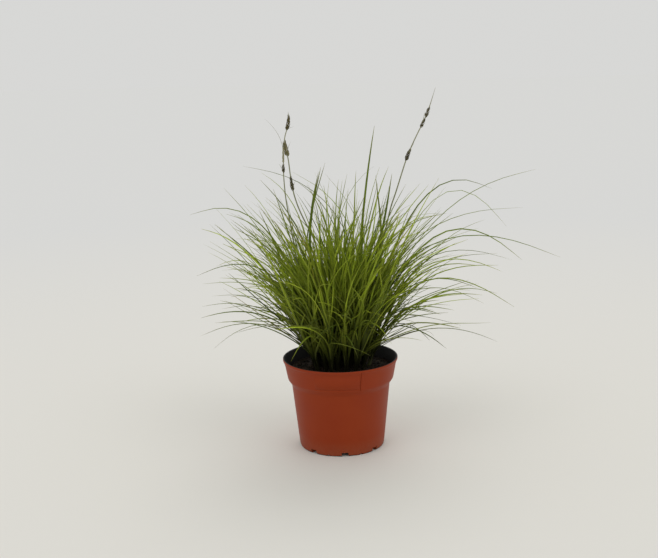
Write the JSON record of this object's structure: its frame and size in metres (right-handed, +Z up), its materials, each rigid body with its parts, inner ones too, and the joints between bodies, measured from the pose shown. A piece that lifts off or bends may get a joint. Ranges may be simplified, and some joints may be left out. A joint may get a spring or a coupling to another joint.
{
  "type": "potted sedge",
  "caption": "Fine-leaved ornamental sedge, an arching clump with slender flower stems, growing in a round plastic nursery pot of compost.",
  "frame": {"origin": "middle of the pot's underside, on the surface that the pot stands on", "axes": "+Z up along the pot's axis; -Y towards the side that the picture shows"},
  "size_m": [0.359, 0.2819, 0.3471],
  "materials": {
    "pot_plastic": "terracotta-coloured moulded plastic, satin, black inside",
    "compost": "damp dark peat, rough and crumbly",
    "leaf": "yellow-green blades, faintly glossy",
    "flower_stem": "olive-brown stems and flower heads, matt"
  },
  "bodies": {
    "root": {"pot": "pot_plastic", "soil": "compost", "flower_stem_right": "flower_stem", "flower_stem_left": "flower_stem", "flower_stem_left_short": "flower_stem", "shoot_01": "leaf", "shoot_02": "leaf", "shoot_03": "leaf", "shoot_04": "leaf", "shoot_05": "leaf", "shoot_06": "leaf", "shoot_07": "leaf", "shoot_08": "leaf", "shoot_09": "leaf", "shoot_10": "leaf", "shoot_11": "leaf", "shoot_12": "leaf", "shoot_13": "leaf", "shoot_14": "leaf", "shoot_15": "leaf", "shoot_16": "leaf", "shoot_17": "leaf", "shoot_18": "leaf", "shoot_19": "leaf", "shoot_20": "leaf", "shoot_21": "leaf", "shoot_22": "leaf", "shoot_23": "leaf", "shoot_24": "leaf", "shoot_25": "leaf", "shoot_26": "leaf", "shoot_27": "leaf", "shoot_28": "leaf", "shoot_29": "leaf", "shoot_30": "leaf", "shoot_31": "leaf", "shoot_32": "leaf", "shoot_33": "leaf", "shoot_34": "leaf", "shoot_35": "leaf", "shoot_36": "leaf"}
  },
  "joints": []
}
